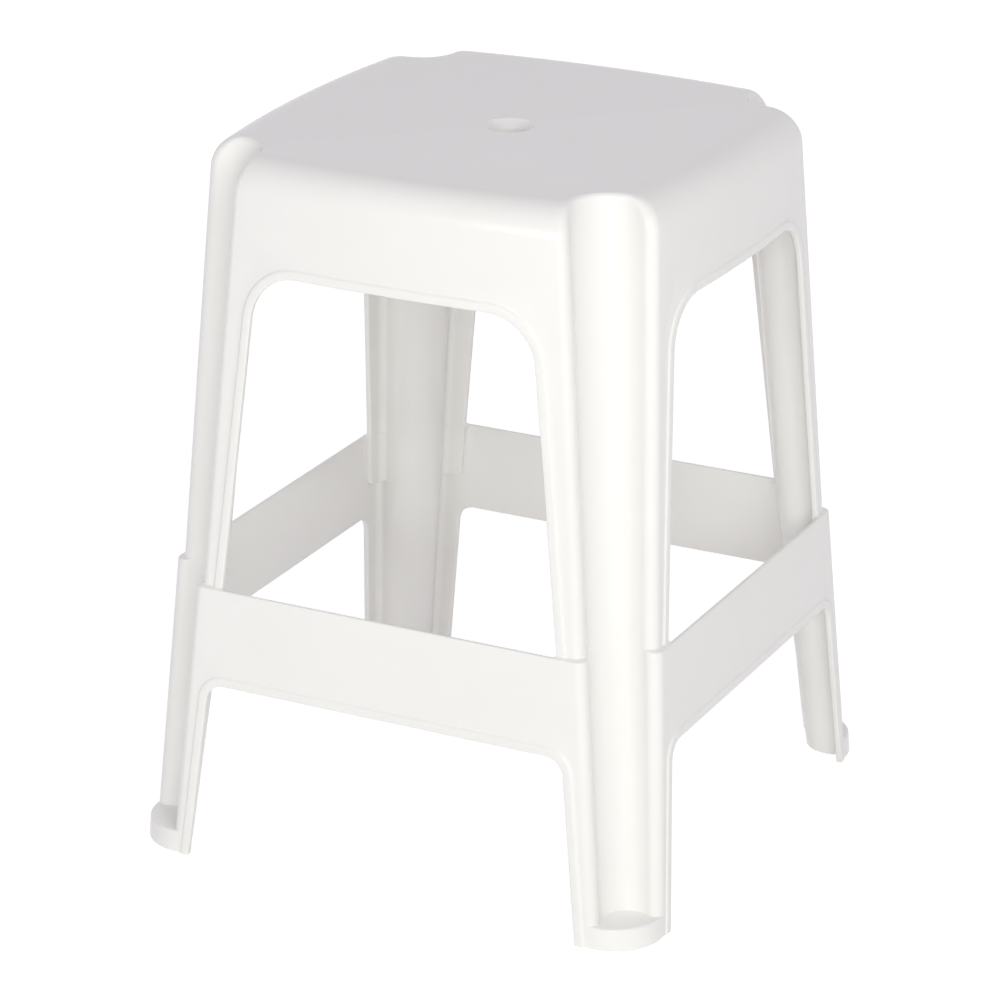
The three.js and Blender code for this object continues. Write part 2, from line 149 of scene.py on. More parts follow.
# How many cells the skin has along each stretch of its grid.
cells = {
    "span": 6,
    "arch": 10,
    "flange": 2,
    "rib": 12,
    "flute": 12,
    "legSide": 6,
    "rail": 3,
    "sill": 3,
    "apron": 3,
    "round": 3,
    "lip": 6,
    "step": 4,
    "roll": 16,
    "dish": 12,
    "holeRimTop": 4,
    "holeRimLow": 5,
}
dishCrowding = 1.5  # how much closer the dish's rows lie at its border

wall = stool["wall"]
rollCentre = stool["height"] - stool["edgeRadius"]
stepTop = stool["railTop"] + stool["stepRise"]


# The two shells of the moulding. The lower one is wider and ends in a step at the rail's top.
def lowerShell(z):
    share = min(z, stool["railTop"]) / stool["railTop"]
    return {
        "half": between(stool["overallHalf"] - stool["lipRise"], stool["shelfHalf"], share),
        "flute": between(stool["footFlute"], stool["railFlute"], share),
        "groove": between(stool["footGroove"], stool["railGroove"], share),
        "legWidth": between(stool["footLegWidth"], stool["kneeLegWidth"], z / stool["railBottom"]),
        "bow": 0,
    }


def upperShell(z):
    share = (z - stool["railTop"]) / (stool["height"] - stool["railTop"])
    legShare = (z - stool["railTop"]) / (stool["apronBottom"] - stool["railTop"])
    return {
        "half": between(stool["shelfHalf"] - stool["stepWidth"], stool["seatHalf"], share),
        "flute": between(stool["railFlute"] - stool["stepWidth"], stool["seatFlute"], share),
        "groove": between(stool["railGroove"] - stool["stepWidth"], stool["seatGroove"], share),
        "legWidth": between(stool["shoulderLegWidth"], stool["hipLegWidth"], legShare),
        "bow": stool["sideBow"] * max(0, share),
    }


def edgeOf(shell, z):
    sizes = shell(z)
    return sizes["half"] - sizes["legWidth"]


# A section at a height, in insets from the corner where the flat sides would meet: x from one's
# own side and y from the next. rise is 0 on the lower shell and 1 on the upper one.
@lru_cache(maxsize=None)
def sectionAt(z, rise, inset=0.0, flare=0.0):
    low = lowerShell(z)
    high = upperShell(z)
    sizes = {key: between(low[key], high[key], rise) for key in low}
    half = sizes["half"] - inset
    middle = sizes["flute"] - inset
    radius = math.sqrt(2) * (sizes["groove"] - sizes["flute"]) + flare
    lean = math.atan(2 * sizes["bow"] / (half - middle - radius))
    inward = spoke(lean)
    along = spoke(lean + math.pi / 2)
    flute = Vector((middle, middle))
    rib = Vector((0, middle + radius)) + inward * stool["ribRadius"]
    fromFlute = rib - flute
    reach = fromFlute.dot(along)
    gap = reach ** 2 - fromFlute.length_squared + (radius + stool["ribRadius"]) ** 2
    rib = rib + along * (math.sqrt(gap) - reach)
    return SimpleNamespace(half=half, lean=lean, inward=inward, flute=flute, radius=radius, rib=rib)


def touchInset(section, depth):
    return section.rib + section.inward * (depth - stool["ribRadius"])


def reachOf(section, depth=0):
    return section.half - touchInset(section, depth).y


def sideInset(section, fromMiddle, depth):
    touch = touchInset(section, depth)
    reach = section.half - touch.y
    rise = math.tan(section.lean) * reach / 2
    return Vector((touch.x - rise * (1 - (fromMiddle / reach) ** 2), section.half - fromMiddle))


def angleOf(vector):
    return math.atan2(vector.y, vector.x) % (2 * math.pi)


def ribInset(section, share, depth):
    angle = between(math.pi + section.lean, angleOf(section.flute - section.rib), share)
    return section.rib + spoke(angle) * (stool["ribRadius"] - depth)


def fluteInset(section, share, depth):
    angle = between(angleOf(section.rib - section.flute), math.pi / 4, share)
    return section.flute + spoke(angle) * (section.radius + depth)


def placed(section, inset, z):
    return Vector((section.half - inset.y, inset.x - section.half, z))


def mirrored(place):
    return Vector((-place.y, -place.x, place.z))


# Loops round an opening, from its edge outwards: the rounded rim, the flat lip, and the soft step
# from there down to the plain shell.
rimTurns = turnsTo(math.pi / 2, cells["round"])
rimSteps = [stool["rimRound"] * (1 - math.cos(turn)) for turn in rimTurns]
rimDepths = [stool["rimRound"] * (1 - math.sin(turn)) for turn in rimTurns]
creaseShares = [i / cells["lip"] for i in range(cells["lip"] + 1)]
creaseSteps = [stool["lipWidth"] + stool["lipStep"] * (share - 1) for share in creaseShares]
loopSteps = rimSteps + [stool["lipWidth"] / 2] + creaseSteps
lastLoop = len(loopSteps) - 1


def rimDepth(loop):
    return rimDepths[loop] if loop < len(rimDepths) else 0


def lipDepth(loop):
    return -stool["lipRise"] * smooth((stool["lipWidth"] - loopSteps[loop]) / stool["lipStep"])


# The arch at the top of an opening: x is the distance from the middle of the side, y the height.
class Arch:
    def __init__(self, shell, edgeHeight, radius):
        self.shell = shell
        self.edgeHeight = edgeHeight
        self.radius = radius
        slope = (edgeOf(shell, edgeHeight) - edgeOf(shell, 0)) / edgeHeight
        self.slant = math.hypot(1, slope)
        self.start = math.atan(-slope)
        springing = edgeHeight - radius
        self.centre = Vector((edgeOf(shell, springing) - radius * self.slant, springing))

    def side(self, height, step):
        return Vector((edgeOf(self.shell, height) + step * self.slant, height))

    def point(self, share, step):
        return self.centre + spoke(between(self.start, math.pi / 2, share)) * (self.radius + step)

    def heights(self, bottom):
        heights = heightsBetween(bottom, self.point(0, 0).y, cells["legSide"])
        heights += [self.point(i / cells["arch"] / 2, 0).y for i in range(1, cells["arch"])]
        return heights + [self.edgeHeight + step for step in loopSteps]


knee = Arch(lowerShell, stool["railBottom"], stool["kneeRadius"])
hip = Arch(upperShell, stool["apronBottom"], stool["hipRadius"])

# Columns of the skin: the middle of a side, the arch, the lip's loops, the flange, the rib and
# the flute, whose middle is the corner of the stool. The rest mirrors them.
edgeColumn = cells["span"] + cells["arch"]
creaseColumn = edgeColumn + lastLoop
touchColumn = creaseColumn + cells["flange"]
fluteColumn = touchColumn + cells["rib"]
middleColumn = fluteColumn + cells["flute"]


def legRow(z, rise, zone="leg"):
    return SimpleNamespace(z=z, rise=rise, zone=zone)


def holeRow(radius, z, rim):
    return SimpleNamespace(radius=radius, z=z, rim=rim, zone="hole")


# Rows of the skin from the floor to the seat's hole, each with its height and rise.
rows = [legRow(step, 0) for step in rimSteps]
rows += [legRow(z, 0) for z in knee.heights(rimSteps[-1])]
kneeRow = len(rows) - 1 - lastLoop
kneeCreaseRow = len(rows) - 1
stepLow = stool["railTop"] - stool["stepRound"]
rows += [legRow(z, 0) for z in heightsBetween(rows[kneeCreaseRow].z, stepLow, cells["rail"] + 1)[:-1]]
stepRow = len(rows)
for turn in turnsTo(math.pi / 2, cells["step"]):
    inward = stool["stepRound"] * (1 - math.cos(turn))
    rows.append(legRow(stepLow + stool["stepRound"] * math.sin(turn), inward / stool["stepWidth"], "step"))
sillRow = len(rows) - 1  # the rail's free top edge ends here
for turn in turnsTo(math.pi / 2, cells["step"]):
    outward = stool["stepFillet"] * (1 - math.sin(turn))
    z = stepTop + stool["stepFillet"] * (1 - math.cos(turn))
    rows.append(legRow(z, 1 - outward / stool["stepWidth"], "step"))
stepEndRow = len(rows) - 1
sillTop = stepTop + stool["sillRadius"]
rows += [legRow(z, 1) for z in heightsBetween(rows[stepEndRow].z, sillTop, cells["sill"])]
rows += [legRow(z, 1) for z in hip.heights(sillTop)]
hipRow = len(rows) - 1 - lastLoop
hipCreaseRow = len(rows) - 1
rows += [legRow(z, 1) for z in heightsBetween(rows[hipCreaseRow].z, rollCentre, cells["apron"])]
rows += [SimpleNamespace(turn=turn, zone="roll") for turn in turnsTo(math.pi / 2, cells["roll"])[1:]]
rollRow = len(rows) - 1
for i in range(1, cells["dish"] + 1):
    rows.append(SimpleNamespace(share=(i / cells["dish"]) ** dishCrowding, zone="dish"))

# The hole's rim in the seat: a cone rounded at both ends, then the collar's bore and its end.
coneTurn = math.atan2(stool["holeRimDrop"], stool["holeRimRadius"] - stool["holeRadius"])
topRound = stool["holeRimRound"]
topReach = stool["holeRimRadius"] + topRound * math.tan(coneTurn / 2)
holeProfile = []
for turn in turnsTo(coneTurn, cells["holeRimTop"]):
    holeProfile.append((topReach - topRound * math.sin(turn), topRound * (1 - math.cos(turn))))
lowRound = stool["holeRound"]
boreTurn = math.pi / 2 - coneTurn
boreDrop = stool["holeRimDrop"] + lowRound * math.tan(boreTurn / 2)
for turn in turnsTo(boreTurn, cells["holeRimLow"]):
    radius = stool["holeRadius"] + lowRound * (1 - math.sin(coneTurn + turn))
    holeProfile.append((radius, boreDrop - lowRound * math.cos(coneTurn + turn)))
dishMiddle = stool["height"] - stool["dishDepth"]
rows += [holeRow(radius, dishMiddle - drop, 0) for radius, drop in holeProfile]
for step, depth in zip(reversed(rimSteps), reversed(rimDepths)):
    rows.append(holeRow(stool["holeRadius"], stool["collarBottom"] + step, depth))
dishRows = [i for i, row in enumerate(rows) if row.zone == "dish"]
holeRows = [i for i, row in enumerate(rows) if row.zone == "hole"]
topRow = len(rows) - 1


def sillShift(z):
    return roundedOff(stool["sillRadius"], z - stepTop)


def toeShift(z):
    return roundedOff(stool["toeRadius"], z)


# A spot is a point of the skin as seen from its side: how far it is from the middle, and its height.
def stepSpot(column, row):
    z = rows[row].z
    edge = edgeOf(upperShell, stepTop) - sillShift(z)
    if column <= edgeColumn:
        return Vector((edge * column / edgeColumn, z))
    loop = min(column - edgeColumn, lastLoop)
    crease = edge + loopSteps[loop] + sillShift(z) * loop / lastLoop
    if column <= creaseColumn:
        return Vector((crease, z))
    touch = reachOf(sectionAt(z, rows[row].rise))
    return Vector((between(crease, touch, (column - creaseColumn) / cells["flange"]), z))


@lru_cache(maxsize=None)
def legSpot(column, row):
    z = rows[row].z
    if rows[row].zone == "step":
        return stepSpot(column, row)
    isKnee = row < stepRow  # in the lower opening's rows
    arch = knee if isKnee else hip
    archRow = kneeRow if isKnee else hipRow
    sideLoop = column - edgeColumn
    topLoop = row - archRow
    section = sectionAt(z, rows[row].rise)
    if topLoop > lastLoop and isKnee:  # the rail
        low = legSpot(column, kneeCreaseRow)
        high = stepSpot(column, stepRow)
        return Vector((between(low.x, high.x, (z - low.y) / (high.y - low.y)), z))
    if topLoop > lastLoop:  # the apron
        return Vector((seatShare(column) * reachOf(section), z))
    if column > creaseColumn:  # the plain part of the leg's side
        crease = legSpot(creaseColumn, row)
        touch = Vector((reachOf(section), z))
        return crease.lerp(touch, (column - creaseColumn) / cells["flange"])
    if topLoop <= -cells["arch"]:  # below the arch
        loop = max(sideLoop, 0)
        shift = toeShift(z) if isKnee else -sillShift(z)
        return arch.side(z, loopSteps[loop]) + Vector((shift * (1 - loop / lastLoop), 0))
    if topLoop < sideLoop:  # the arch's lower half, then its upper half
        return arch.point((topLoop + cells["arch"]) / (cells["arch"] + sideLoop) / 2, loopSteps[sideLoop])
    loop = max(topLoop, 0)
    if column < cells["span"]:
        return Vector((arch.centre.x * column / cells["span"], arch.edgeHeight + loopSteps[loop]))
    return arch.point(1 - (column - cells["span"]) / (cells["arch"] + loop) / 2, loopSteps[loop])


@lru_cache(maxsize=None)
def seatShare(column):
    spot = legSpot(column, hipCreaseRow)
    return spot.x / reachOf(sectionAt(rows[hipCreaseRow].z, 1))


# How deep a point lies under the plain shell. The lips stand proud, so theirs is below zero.
def legDepth(column, row, inner):
    loop = lastLoop
    if row <= kneeCreaseRow:
        loop = max(column - edgeColumn, row - kneeRow)
    elif stepRow <= row <= hipCreaseRow:
        loop = max(column - edgeColumn, row - hipRow)
    loop = min(max(loop, 0), lastLoop)
    rim = rimDepth(loop)
    if row < len(rimDepths):
        rim = max(rim, rimDepths[row])
    if rows[row].zone == "step":
        isSill = column <= edgeColumn and row <= sillRow
        if isSill:
            return wall - 2 * rows[row].rise * stool["stepWidth"] if inner else 0
        return wall if inner else lipDepth(loop) * rows[row].rise
    return wall - rim if inner else lipDepth(loop) + rim


# How far the seat's top lies below its border: a square dish with four creases and their lines.
def dishDrop(x, y):
    size = max(abs(x), abs(y), 1e-6)  # never zero
    start, end = stool["softReach"]
    softness = min(max((size - start) / (end - start), 0), 1)
    power = 1 / between(1 / stool["creasePower"], 1 / stool["cornerPower"], softness)
    reach = size * ((abs(x) / size) ** power + (abs(y) / size) ** power) ** (1 / power)
    inside = stool["landHalf"] - reach
    blend = stool["landRound"]
    if inside < -blend:
        return 0
    if inside < blend:
        inside = (inside + blend) ** 2 / (4 * blend)
    offCrease = abs(abs(x) - abs(y)) / math.sqrt(2)
    groove = max(1 - offCrease / stool["grooveHalf"], 0) ** 2 * (1 - softness)
    groove *= min(max(size / stool["holeRimRadius"] - 1, 0), 1)
    return stool["dishDepth"] * inside / stool["landHalf"] + stool["grooveDepth"] * groove


def onSection(section, column, depth, fromMiddle, z):
    if column < touchColumn:
        return placed(section, sideInset(section, fromMiddle, depth), z)
    if column == touchColumn:
        return placed(section, touchInset(section, depth), z)
    if column <= fluteColumn:
        return placed(section, ribInset(section, (column - touchColumn) / cells["rib"], depth), z)
    return placed(section, fluteInset(section, (column - fluteColumn) / cells["flute"], depth), z)


def legPlace(column, row, inner):
    spot = legSpot(min(column, touchColumn), row)
    depth = legDepth(column, row, inner)
    section = sectionAt(spot.y, rows[row].rise)
    isSill = column <= edgeColumn and row <= sillRow
    isSunk = inner and rows[row].zone == "step" and not isSill  # inside, the step lies a wall lower
    return onSection(section, column, depth, spot.x, spot.y - (wall if isSunk else 0))


def rollPlace(column, row, inner):
    turn = rows[row].turn
    depth = wall if inner else 0
    radius = stool["edgeRadius"] - depth
    flare = roundedOff(stool["fluteRim"], stool["edgeRadius"] * (1 - math.sin(turn)))
    z = rollCentre + radius * math.sin(turn)
    section = sectionAt(z, 1, radius * (1 - math.cos(turn)), flare)
    fromMiddle = seatShare(column) * reachOf(section, depth) if column < touchColumn else 0
    place = onSection(section, column, depth, fromMiddle, z)
    return place - Vector((0, 0, dishDrop(place.x, place.y) * math.sin(turn) ** 2))


def dishPlace(column, row, inner):
    start = rollPlace(column, rollRow, inner)
    radius = holeProfile[0][0] + (wall if inner else 0)
    end = Vector((start.x, start.y, 0)).normalized() * radius
    place = Vector((start.x, start.y, 0)).lerp(end, rows[row].share)
    place.z = stool["height"] - dishDrop(place.x, place.y) - (wall if inner else 0)
    return place


def holePlace(column, row, inner):
    turned = dishPlace(column, dishRows[-1], inner)
    share = (row - holeRows[0]) / (len(holeProfile) - 1)
    across = wall - rows[row].rim if inner else rows[row].rim
    radius = rows[row].radius + across
    sink = wall * max(0, 1 - share) if inner else 0
    level = dishDrop(turned.x, turned.y) - stool["dishDepth"]  # fades out down the hole's rim
    flat = Vector((turned.x, turned.y, 0)).normalized() * radius
    return flat + Vector((0, 0, rows[row].z - sink - level * max(0, 1 - share)))


zonePlaces = {"leg": legPlace, "step": legPlace, "roll": rollPlace, "dish": dishPlace, "hole": holePlace}


@lru_cache(maxsize=None)
def skinPlace(column, row, inner):
    if column > middleColumn:
        return mirrored(skinPlace(2 * middleColumn - column, row, inner))
    return zonePlaces[rows[row].zone](column, row, inner)


def isOpen(column, row):
    fromMiddle = min(column, 2 * middleColumn - 1 - column)
    return fromMiddle < edgeColumn and (row < kneeRow or sillRow <= row < hipRow)


def deselectAll():
    bpy.ops.object.select_all(action="DESELECT")


# The grid reaches from -1 to 1, so a vertex's place gives its column and row.
def addGrid(name, columns, gridRows):
    deselectAll()
    bpy.ops.mesh.primitive_grid_add(x_subdivisions=columns, y_subdivisions=gridRows, size=2)
    piece = bpy.context.object
    piece.name = name
    piece.data.name = name
    return piece


def gridNumbers(vertex, columns, gridRows):
    return round((vertex.co.x + 1) / 2 * columns), round((vertex.co.y + 1) / 2 * gridRows)


def selectFaces(piece, isWanted):
    bpy.ops.object.mode_set(mode="EDIT")
    bpy.ops.mesh.select_mode(type="FACE")
    bpy.ops.mesh.select_all(action="DESELECT")
    bpy.ops.object.mode_set(mode="OBJECT")
    for polygon in piece.data.polygons:
        polygon.select = isWanted(polygon)


def deleteSelectedFaces():
    bpy.ops.object.mode_set(mode="EDIT")
    bpy.ops.mesh.delete(type="FACE")
    bpy.ops.object.mode_set(mode="OBJECT")


def faceOutwards():
    bpy.ops.object.mode_set(mode="EDIT")
    bpy.ops.mesh.select_all(action="SELECT")
    bpy.ops.mesh.normals_make_consistent(inside=False)
    bpy.ops.object.mode_set(mode="OBJECT")


def applyModifier(piece, kind, **settings):
    modifier = piece.modifiers.new(kind.title(), kind)
    for key, value in settings.items():
        setattr(modifier, key, value)
    bpy.ops.object.modifier_apply(modifier=modifier.name)


seamWeld = 1e-5  # in metres, where the moulding's mirrored parts meet
pointWeld = 1e-6  # and where a small piece's points are doubled


# A quarter of the skin is shaped from a grid, mirrored and given its wall. Then each point of the
# outside and of the inside is set to its own place, because the wall isn't the same all over.
def makeMoulding():
    columns = 2 * middleColumn
    piece = addGrid("moulding", columns, topRow)
    mesh = piece.data
    numbers = [gridNumbers(vertex, columns, topRow) for vertex in mesh.vertices]

    def isInOpening(polygon):
        faceNumbers = [numbers[i] for i in polygon.vertices]
        return isOpen(min(column for column, row in faceNumbers), min(row for column, row in faceNumbers))

    for key, part in (("column", 0), ("row", 1)):
        attribute = mesh.attributes.new(key, "INT", "POINT")
        attribute.data.foreach_set("value", [pair[part] for pair in numbers])
    selectFaces(piece, isInOpening)
    used = {i for polygon in mesh.polygons if not polygon.select for i in polygon.vertices}
    for i in used:
        mesh.vertices[i].co = skinPlace(*numbers[i], False) * millimetre
    deleteSelectedFaces()
    applyModifier(piece, "MIRROR", use_axis=(True, True, False), merge_threshold=seamWeld)
    outerCount = len(piece.data.vertices)
    applyModifier(piece, "SOLIDIFY", thickness=wall * millimetre, offset=-1)
    mesh = piece.data
    columnsOf = mesh.attributes["column"].data
    rowsOf = mesh.attributes["row"].data
    outers = [vertex.co.copy() for vertex in mesh.vertices[:outerCount]]
    for i, vertex in enumerate(mesh.vertices):
        outer = outers[i % outerCount]
        place = skinPlace(columnsOf[i].value, rowsOf[i].value, i >= outerCount)
        side = Vector((math.copysign(1, outer.x), math.copysign(1, outer.y), 1))
        vertex.co = place * side * millimetre
    print("moulding:", len(mesh.vertices), "points,", len(mesh.polygons), "faces")
    return piece


# Closes the open ends of the last piece made, which is still the active one.
def closeEnds():
    bpy.ops.object.mode_set(mode="EDIT")
    bpy.ops.mesh.select_all(action="SELECT")
    bpy.ops.mesh.remove_doubles(threshold=pointWeld)
    bpy.ops.mesh.fill_holes(sides=0)
    bpy.ops.object.mode_set(mode="OBJECT")
    faceOutwards()


corners = {
    "front_right": (1, 1),
    "back_right": (1, -1),
    "back_left": (-1, -1),
    "front_left": (-1, 1),
}


# The piece is made at the front right corner. The others are mirrored copies with their own mesh.
def copyToCorners(piece, name):
    copies = []
    for corner, (right, front) in corners.items():
        deselectAll()
        piece.select_set(True)
        bpy.context.view_layer.objects.active = piece
        bpy.ops.object.duplicate(linked=False)
        copied = bpy.context.object
        copied.name = name + "_" + corner
        copied.data.name = copied.name
        copied.scale = (right, front, 1)
        bpy.ops.object.transform_apply(location=False, rotation=False, scale=True)
        faceOutwards()
        copies.append(copied)
    deselectAll()
    piece.select_set(True)
    bpy.ops.object.delete()
    return copies


# A foot: a ledge across the leg's flute and a bulged nose wall under it, open at the floor.
foot = {
    "ledgeHeight": heightOf("foot_front_right", 1),
    "noseInset": 9.5,  # from the corner to the nose's tip, along both sides
    "bite": 0.8,  # how deep its ends and the ledge's back sit in the moulding
    "edgeRound": 1.3,
    "filletRound": 0.9,
    "filletEnd": 0.08,  # the share of its length over which the fillet runs out
    "endBite": 0.4,  # how deep it sits where it has run out
    "cellsAlong": 32,
    "cellsDown": 3,
    "cellsRound": 4,
}


def noseAt(z):
    radius = foot["noseInset"] / (1 - math.sqrt(0.5))  # touches both flat sides of the leg
    return SimpleNamespace(section=sectionAt(z, 0), centre=Vector((radius, radius)), radius=radius)


def noseInset(z, share, depth):
    nose = noseAt(z)
    radius = nose.radius - depth
    toRib = nose.section.rib - nose.centre
    reach = stool["ribRadius"] - foot["bite"]
    cosine = (radius ** 2 + toRib.length_squared - reach ** 2) / (2 * radius * toRib.length)
    start = angleOf(toRib) + math.acos(min(cosine, 1))
    end = 2.5 * math.pi - start  # its mirror image over the diagonal
    return nose.centre + spoke(between(start, end, share)) * radius


def fluteBackInset(z, share, depth):
    inset = fluteInset(sectionAt(z, 0), 2 * min(share, 1 - share), depth)
    return inset if share <= 0.5 else Vector((inset.y, inset.x))


# The foot's section, once round: the ledge's back and fillet, its front edge, the nose wall down to
# the floor, and up its inside to the ledge's underside.
def footProfile():
    top = foot["ledgeHeight"]
    fillet = foot["filletRound"]
    edge = foot["edgeRound"]
    rim = stool["rimRound"]
    down = foot["cellsDown"]
    quarter = turnsTo(math.pi / 2, foot["cellsRound"])
    profile = [(fluteBackInset, top + fillet, foot["bite"])]
    for turn in quarter:
        profile.append((fluteBackInset, top + fillet * (1 - math.sin(turn)), fillet * (math.cos(turn) - 1)))
    for turn in quarter:
        profile.append((noseInset, top - edge * (1 - math.cos(turn)), edge * (1 - math.sin(turn))))
    for i in range(1, down):
        profile.append((noseInset, between(top - edge, rim, i / down), 0))
    for turn in quarter:
        profile.append((noseInset, rim * (1 - math.sin(turn)), rim * (1 - math.cos(turn))))
    for turn in quarter:
        profile.append((noseInset, rim * (1 - math.cos(turn)), wall - rim * (1 - math.sin(turn))))
    profile += [(noseInset, top - wall, wall), (fluteBackInset, top - wall, foot["bite"])]
    return profile + profile[:1]


def makeFeet():
    profile = footProfile()
    piece = addGrid("foot", foot["cellsAlong"], len(profile) - 1)
    for vertex in piece.data.vertices:
        column, row = gridNumbers(vertex, foot["cellsAlong"], len(profile) - 1)
        shape, z, depth = profile[row]
        share = column / foot["cellsAlong"]
        if z > foot["ledgeHeight"] or depth < 0:
            taper = min(1, share / foot["filletEnd"], (1 - share) / foot["filletEnd"])
            z = between(foot["ledgeHeight"], z, taper)
            depth = between(foot["endBite"], depth, taper)
        inset = shape(z, share, depth)
        vertex.co = placed(sectionAt(z, 0), inset, z) * millimetre
    closeEnds()
    return copyToCorners(piece, "foot_cup")


# A tongue: the upper leg's wall runs on behind the rail and ends in a round corner.
tongue = {
    "end": 141,  # the height at which it stops
    "top": stool["railTop"] - stool["stepRise"],
    "cornerRadius": 4,
    "back": 1.2,  # how deep in the lower wall its back is buried
    "shy": 0.02,  # keeps its face from lying in the upper wall's face
    "columns": 24,
    "rows": 14,
    "crowding": 1.5,  # how much closer the columns lie at its free edge
    "edgeRound": 0.6,
    "edgeCells": 3,
    "edgeAngle": 50,  # in degrees; only sharper edges are rounded
    "fade": 0.4,  # the share of the flute in which its end dies out
    "sunk": 0.2,  # how deep it lies in the lower wall from there on
}


def tonguePlace(column, row, isBack):
    if column > tongue["columns"]:
        return mirrored(tonguePlace(2 * tongue["columns"] - column, row, isBack))
    sideColumns = tongue["columns"] // 3  # the flat side, the rib and the flute get a third each
    sideShare = min(column / sideColumns, 1) ** tongue["crowding"]
    edge = edgeOf(upperShell, tongue["end"])
    touch = reachOf(sectionAt(tongue["end"], 1))
    lift = roundedOff(tongue["cornerRadius"], (touch - edge) * sideShare)
    z = between(tongue["end"] + lift, tongue["top"], row / tongue["rows"])
    section = sectionAt(z, 0 if isBack else 1)
    depth = tongue["back"] if isBack else wall - tongue["shy"]
    if column < sideColumns:
        fromMiddle = between(edgeOf(upperShell, z), reachOf(sectionAt(z, 1)), sideShare)
        return placed(section, sideInset(section, fromMiddle, depth), z)
    if column <= 2 * sideColumns:
        return placed(section, ribInset(section, column / sideColumns - 1, depth), z)
    share = column / sideColumns - 2
    inset = fluteInset(section, share, depth)
    if not isBack:
        lower = sectionAt(z, 0)
        sink = smooth(share / tongue["fade"]) * (1 - smooth(row / tongue["rows"]))
        inset = inset.lerp(fluteInset(lower, share, wall - tongue["sunk"]), sink)
        section = SimpleNamespace(half=between(section.half, lower.half, sink))
    return placed(section, inset, z)


def makeTongues():
    columns = 2 * tongue["columns"]
    piece = addGrid("tongue", columns, tongue["rows"])
    numbers = [gridNumbers(vertex, columns, tongue["rows"]) for vertex in piece.data.vertices]
    for vertex, pair in zip(piece.data.vertices, numbers):
        vertex.co = tonguePlace(*pair, True) * millimetre
    applyModifier(piece, "SOLIDIFY", thickness=wall * millimetre, offset=-1)
    for vertex, pair in zip(piece.data.vertices, numbers + numbers):
        vertex.co = tonguePlace(*pair, vertex.index >= len(numbers)) * millimetre
    applyModifier(piece, "BEVEL", width=tongue["edgeRound"] * millimetre, segments=tongue["edgeCells"],
                  limit_method="ANGLE", angle_limit=math.radians(tongue["edgeAngle"]))
    return copyToCorners(piece, "tongue")


# The seat's four stiffening ribs, from the collar round the hole to the corner flutes.
seatRib = {
    "bottom": heightOf("seat_rib_front_right", 0),
    "thickness": 2,
    "draft": 0.35,  # how much thinner it gets downwards, on each side
    "collarEnd": 11.6,  # where it starts, within the collar's wall
    "collarDrop": 2,  # how much lower its top is there, under the hole's rim
    "kneeReach": 19,  # where its top has come up to the seat
    "edgeRound": 0.3,
    "edgeCells": 2,
}


def makeSeatRibs():
    middle = sectionAt(rollCentre, 1)
    flute = placed(middle, fluteInset(middle, 1, wall / 2), 0)
    outerEnd = Vector((flute.x, flute.y)).length
    innerEnd = seatRib["collarEnd"]
    deselectAll()
    bpy.ops.mesh.primitive_cube_add(size=1)
    piece = bpy.context.object
    bpy.ops.object.mode_set(mode="EDIT")
    bpy.ops.mesh.select_all(action="SELECT")
    bpy.ops.mesh.bisect(plane_co=(0, 0, 0), plane_no=(1, 0, 0))
    bpy.ops.object.mode_set(mode="OBJECT")
    diagonal = Vector((1, -1, 0)).normalized()
    across = Vector((1, 1, 0)).normalized()
    for vertex in piece.data.vertices:
        reach = {-1: innerEnd, 0: seatRib["kneeReach"], 1: outerEnd}[round(2 * vertex.co.x)]
        half = seatRib["thickness"] / 2 - (0 if vertex.co.z > 0 else seatRib["draft"])
        if reach == outerEnd and vertex.co.z > 0:
            reach -= stool["fluteRim"]
        spot = diagonal * reach
        drop = seatRib["collarDrop"] if reach == innerEnd else 0
        top = stool["height"] - dishDrop(spot.x, spot.y) - wall / 2 - drop
        z = top if vertex.co.z > 0 else seatRib["bottom"]
        vertex.co = (spot + across * math.copysign(half, vertex.co.y) + Vector((0, 0, z))) * millimetre
    applyModifier(piece, "BEVEL", width=seatRib["edgeRound"] * millimetre, segments=seatRib["edgeCells"],
                  limit_method="ANGLE")
    return copyToCorners(piece, "under_seat_rib")


moulding = makeMoulding()
feet = makeFeet()
tongues = makeTongues()
seatRibs = makeSeatRibs()
print("feet, tongues and ribs made")

footNodes = [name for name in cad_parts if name.startswith("foot_")]
ribNodes = [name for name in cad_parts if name.startswith("seat_rib_")]
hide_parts(*[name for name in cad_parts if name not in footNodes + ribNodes])
for cup, corner in zip(feet, corners):
    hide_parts("foot_" + corner)
for rib, corner in zip(seatRibs, corners):
    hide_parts("seat_rib_" + corner)
pieces = [moulding] + feet + tongues + seatRibs
for piece in pieces:
    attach(piece, "root")

# Camera at the photograph's viewing angle. Angles are in degrees and distances in metres.
cameraView = {
    "azimuth": 26.6002,
    "elevation": 21.4105,
    "roll": 0.2007,
    "distance": 2.61118,
    "target": (0, 0, 0.20081),
    "lens": 148.70,
    "shiftX": -0.0084,
    "shiftY": 0.0009,
}


def directionTo(azimuth, elevation):
    turn = math.radians(azimuth)
    lift = math.radians(elevation)
    return Vector((math.sin(turn) * math.cos(lift), -math.cos(turn) * math.cos(lift), math.sin(lift)))


